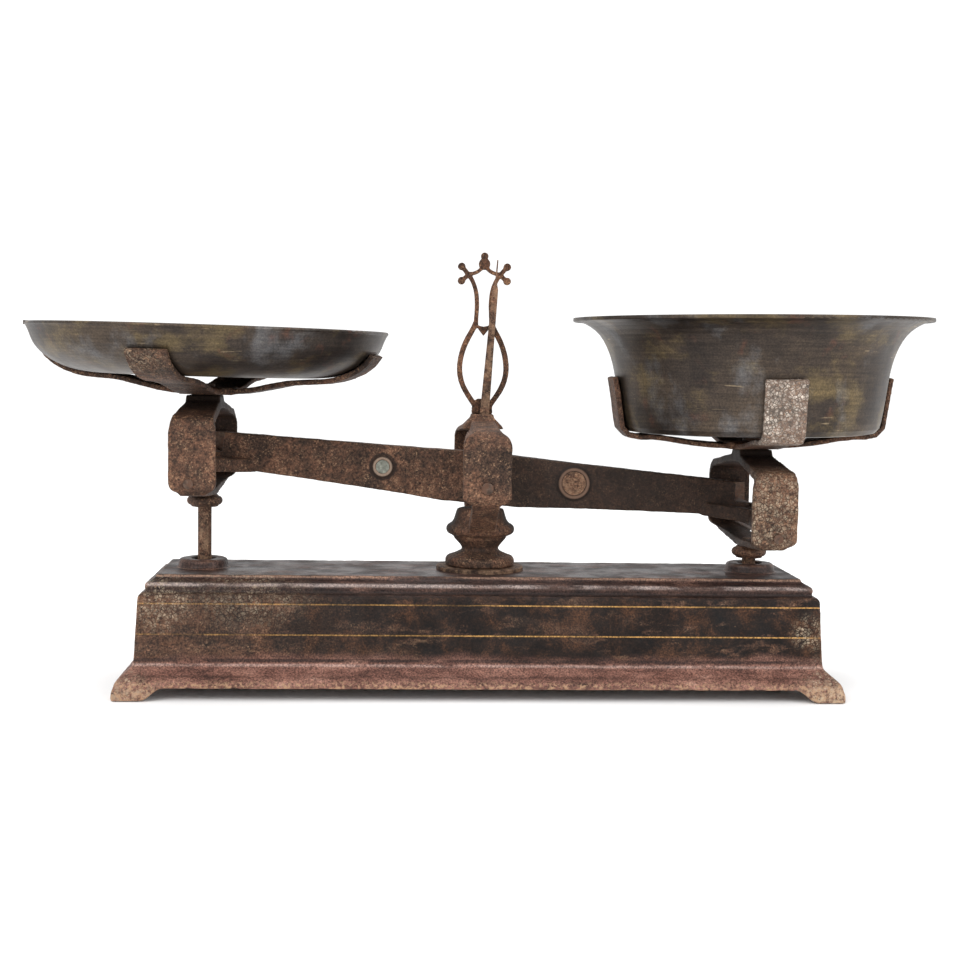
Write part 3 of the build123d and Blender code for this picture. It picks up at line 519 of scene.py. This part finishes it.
def brass_material(name, gold_more):
    """Brass under a dark brown patina, rubbed to olive gold in blotches."""
    shader = Shader(name)
    colour = turning_marks(shader, patina(shader, gold_more))
    colour = grit(shader, colour, 0.35)
    broken = shader.band(shader.noise(0.01, 5.0), 0.40, 0.60)
    edges = shader.both(shader.worn_edges(0.53, 0.62), broken)
    shader.set("Base Color", shader.lay(colour, (0.30, 0.24, 0.17), edges, 0.35))
    shader.set("Metallic", 0.75)
    shader.set("Roughness", shader.line(shader.noise(0.015, 6.0), 0.34, 0.22))
    dents = shader.noise(0.055, 2.0, 0.4)
    fine = shader.noise(0.0025, 5.0, 0.6)
    shader.set("Normal", shader.bump(shader.total(dents, 2.0, fine, 0.10), 0.0010, 0.6))
    return shader.material


def steel_material(name, tint):
    """Dull steel with rust in its pores."""
    shader = Shader(name)
    grain = shader.noise(0.0022, 6.0, 0.65)
    dark = tuple(c * 0.35 for c in tint)
    light = tuple(min(1.0, c * 1.7) for c in tint)
    colour = shader.colours(grain, [(0.34, dark), (0.52, tint), (0.72, light)])
    rust = shader.band(shader.noise(0.005, 5.0, 0.6), 0.42, 0.60)
    shader.set("Base Color", shader.lay(colour, RUST_RED, rust, 0.8))
    shader.set("Metallic", 0.7)
    shader.set("Roughness", 0.5)
    shader.set("Normal", shader.bump(grain, 0.0002, 0.5))
    return shader.material


def lead_material():
    """Grey-green oxidised lead."""
    shader = Shader("lead")
    grain = shader.noise(0.0030, 6.0, 0.6)
    colour = shader.colours(grain, [
        (0.35, (0.085, 0.088, 0.070)), (0.55, (0.170, 0.175, 0.145)), (0.72, (0.30, 0.31, 0.26)),
    ])
    shader.set("Base Color", colour)
    shader.set("Metallic", 0.35)
    shader.set("Roughness", 0.55)
    shader.set("Normal", shader.bump(grain, 0.0003, 0.6))
    return shader.material


# ---------------------------------------------------------------- meshes

def paint(obj, material):
    """Give an object one material on every face."""
    obj.data.materials.clear()
    obj.data.materials.append(material)


def link_piece(name, mesh):
    """A new object with this mesh, in the scene."""
    obj = bpy.data.objects.new(name, mesh)
    bpy.context.scene.collection.objects.link(obj)
    return obj


def body_of(node):
    """The body that a CAD node belongs to."""
    return NODES[node]["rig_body"]


COARSE = 9 * MM          # size of the lumps in a casting's skin
FINE = 2.6 * MM
SINK = 0.3               # share of the lumps' height that the skin is let in
ROLL_PASSES = 6          # smoothing passes for each voxel of softened edge


def roughen(mesh, lumps, seed):
    """Move the vertices along their normals by coarse and fine noise."""
    count = len(mesh.vertices)
    places = [0.0] * (3 * count)
    normals = [0.0] * (3 * count)
    mesh.vertices.foreach_get("co", places)
    mesh.vertices.foreach_get("normal", normals)
    shift = Vector((seed * 3.1, seed * 1.7, seed * 0.9))
    for first in range(0, 3 * count, 3):
        place = Vector(places[first:first + 3])
        coarse = noise.noise(place / COARSE + shift)
        fine = noise.noise(place / FINE + shift)
        step = MM * lumps * (0.65 * coarse + 0.35 * fine - SINK)
        for axis in range(3):
            places[first + axis] += normals[first + axis] * step
    mesh.vertices.foreach_set("co", places)
    mesh.update()


def middle_of(node):
    """Centre of a CAD node's box."""
    low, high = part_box(node)
    return tuple((a + b) / 2 for a, b in zip(low, high))


def cast_skin(node, material, voxel, roll, lumps, seed):
    """A worn casting: the CAD solid remeshed, its edges softened by age and
    its surface made slightly uneven. Voxel, roll and lumps in millimetres."""
    work = link_piece(node + "_skin", NODES[node].data.copy())
    remesh = work.modifiers.new("remesh", "REMESH")
    remesh.mode = "VOXEL"
    remesh.voxel_size = voxel * MM
    soften = work.modifiers.new("soften", "SMOOTH")
    soften.factor = 0.5
    soften.iterations = max(1, round(roll / voxel * ROLL_PASSES))
    graph = bpy.context.evaluated_depsgraph_get()
    mesh = bpy.data.meshes.new_from_object(work.evaluated_get(graph))
    bpy.data.objects.remove(work)
    roughen(mesh, lumps, seed)
    mesh.polygons.foreach_set("use_smooth", [True] * len(mesh.polygons))
    skin = link_piece(node + "_cast", mesh)
    paint(skin, material)
    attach(skin, body_of(node))
    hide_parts(node)


# ---------------------------------------------------------------- build

PLUG = middle_of("lead_plug")
BADGE = middle_of("capacity_disc")

IRON = iron_material("rusty_iron")
# Painted shade, near black, on both sides of the column's neck under the fork and just below it.
IRON_COLUMN = iron_material("rusty_iron_column", shade_spots=[
    ((-0.017, 0.0, 0.108), 0.012, 0.9), ((0.017, 0.0, 0.108), 0.012, 0.9), ((0.0, 0.0, 0.092), 0.014, 0.7),
])
IRON_BEAM = iron_material("rusty_iron_beam", darker_right=True, rings=[
    (PLUG, 0.0064, 0.0092, 0.85, DARK_RUST_AND_SHADE), (PLUG, 0.0050, 0.0066, 0.75, (0.27, 0.20, 0.15)),
    (BADGE, 0.0100, 0.0122, 0.85, DARK_RUST_AND_SHADE), (BADGE, 0.0084, 0.0102, 0.70, (0.16, 0.095, 0.065)),
])
IRON_LYRE = iron_material("rusty_iron_lyre", warm=0.03, tint=(0.62, 0.42, 0.20))
IRON_BADGE = iron_material("rusty_iron_badge", warm=0.06)
IRON_DARK = iron_material("rusty_iron_dark", warm=-0.05)
# Painted shade at the back and at the neck of the left carrier.
IRON_LEFT = iron_material(
    "rusty_iron_left", warm=0.02, shaded_back=True,
    shade_spots=[((LEFT_X, 0.0, LEFT_Z + NECK), 0.030, 0.8)])
# Painted shade at the back and at the neck of the right carrier; the patch is pale speckle of bare metal.
IRON_RIGHT = iron_material(
    "rusty_iron_bare", shaded_back=True, shade_spots=[((RIGHT_X, 0.0, RIGHT_Z + NECK), 0.030, 0.8)],
    patches=[((RIGHT_X, -0.068, RIGHT_Z), 0.030, 0.78)])
IRON_CROSS = iron_material(
    "rusty_iron_tip", pale=WHITISH, veil=0.15,
    patches=[((RIGHT_X, -0.092, RIGHT_Z + 0.070), 0.040, 1.0)])
IRON_LEFT_CROSS = iron_material(
    "rusty_iron_left_tip", warm=-0.03,
    patches=[((LEFT_X - 0.030, -0.108, LEFT_Z + 0.060), 0.018, 0.4)])
BASE = base_material()
DISH = brass_material("dish_brass", 0.02)
BOWL = brass_material("bowl_brass", 0.01)
STEEL = steel_material("dull_steel", (0.080, 0.052, 0.038))
LEAD = lead_material()

# Castings with a worn skin: node, slot, material, voxel, roll, lumps.
SKINS = (
    ("base_casting", "base_paint", BASE, 1.0, 0.25, 0.28),
    ("column_fork", "iron", IRON_COLUMN, 0.9, 0.5, 0.40),
    ("beam", "iron", IRON_BEAM, 0.8, 0.3, 0.35),
    ("left_carrier", "iron", IRON_LEFT, 0.8, 0.5, 0.40),
    ("right_carrier", "iron", IRON_RIGHT, 0.8, 0.5, 0.40),
    ("left_cross", "iron", IRON_LEFT_CROSS, 0.7, 0.35, 0.35),
    ("right_cross", "iron", IRON_CROSS, 0.7, 0.35, 0.35),
    ("lyre", "iron", IRON_LYRE, 0.45, 0.10, 0.20),
)

# Materials of the other nodes; what isn't named here is steel.
PLAIN = {
    "column_seat": IRON_DARK, "column_washer": IRON, "column_nut": IRON, "lower_clevis": IRON,
    "pointer": IRON, "capacity_disc": IRON_BADGE, "left_collar": IRON, "right_collar": IRON,
    "left_stem": IRON, "right_stem": IRON, "counterbeam": IRON,
    "dish": DISH, "bowl": BOWL, "lead_plug": LEAD,
}


def dress():
    """Skins for the castings and materials for everything else."""
    for seed, (node, slot, material, voxel, roll, lumps) in enumerate(SKINS, start=1):
        cast_skin(node, material, voxel, roll, lumps, seed)
    for name, obj in NODES.items():
        if not obj.hide_render:
            paint(obj, PLAIN.get(name, STEEL))


# ---------------------------------------------------------------- stage

def camera():
    """Camera from its place, yaw, pitch and roll."""
    yaw, pitch, roll = (math.radians(a) for a in (CAMERA_YAW, CAMERA_PITCH, CAMERA_ROLL))
    ahead = Vector((math.sin(yaw) * math.cos(pitch), math.cos(yaw) * math.cos(pitch), math.sin(pitch)))
    right = Vector((math.cos(yaw), -math.sin(yaw), 0.0))
    up = right.cross(ahead)
    right, up = right * math.cos(roll) + up * math.sin(roll), up * math.cos(roll) - right * math.sin(roll)
    data = bpy.data.cameras.new("camera")
    data.lens = LENS
    data.clip_start = 0.05
    obj = bpy.data.objects.new("camera", data)
    bpy.context.scene.collection.objects.link(obj)
    obj.matrix_world = Matrix.Translation(CAMERA_AT) @ Matrix((right, up, -ahead)).transposed().to_4x4()
    bpy.context.scene.camera = obj


def area_light(name, at, towards, size, power):
    """A rectangular light aimed at a point of the balance."""
    data = bpy.data.lights.new(name, "AREA")
    data.shape = "RECTANGLE"
    data.size, data.size_y = size
    data.energy = power
    obj = bpy.data.objects.new(name, data)
    bpy.context.scene.collection.objects.link(obj)
    obj.location = at
    ahead = Vector(towards) - Vector(at)
    obj.rotation_euler = ahead.to_track_quat("-Z", "Y").to_euler()


def white_world():
    """An even white surround."""
    world = bpy.data.worlds.new("studio")
    world.use_nodes = True
    background = world.node_tree.nodes["Background"]
    background.inputs[0].default_value = (1.0, 1.0, 1.0, 1.0)
    background.inputs[1].default_value = WORLD_LIGHT
    bpy.context.scene.world = world
    bpy.context.scene.view_settings.view_transform = "Standard"


def pale_floor():
    """A wide sheet of pale paper."""
    mesh = bpy.data.meshes.new("floor")
    corners = [(x * FLOOR_HALF, y * FLOOR_HALF, 0) for x, y in ((-1, -1), (1, -1), (1, 1), (-1, 1))]
    mesh.from_pydata(corners, [], [(0, 1, 2, 3)])
    floor = link_piece("floor", mesh)
    floor.location.z = -FLOOR_DROP
    sheet = Shader("floor_paper")
    shades = [(0.3, (0.90, 0.90, 0.90)), (0.7, (0.93, 0.93, 0.93))]
    sheet.set("Base Color", sheet.colours(sheet.noise(0.4, 3.0), shades))
    sheet.set("Roughness", 0.9)
    paint(floor, sheet.material)


def studio():
    """Pale floor, white surroundings and large soft lights."""
    white_world()
    pale_floor()
    area_light("key", (-1.2, -1.6, 1.5), LIGHT_TARGET, (1.4, 1.0), 26.0)
    area_light("fill", (1.5, -1.4, 0.9), LIGHT_TARGET, (1.4, 1.2), 14.0)
    area_light("top", (0.0, 0.1, 1.6), TOP_TARGET, (1.6, 1.0), 12.0)


dress()
camera()
studio()
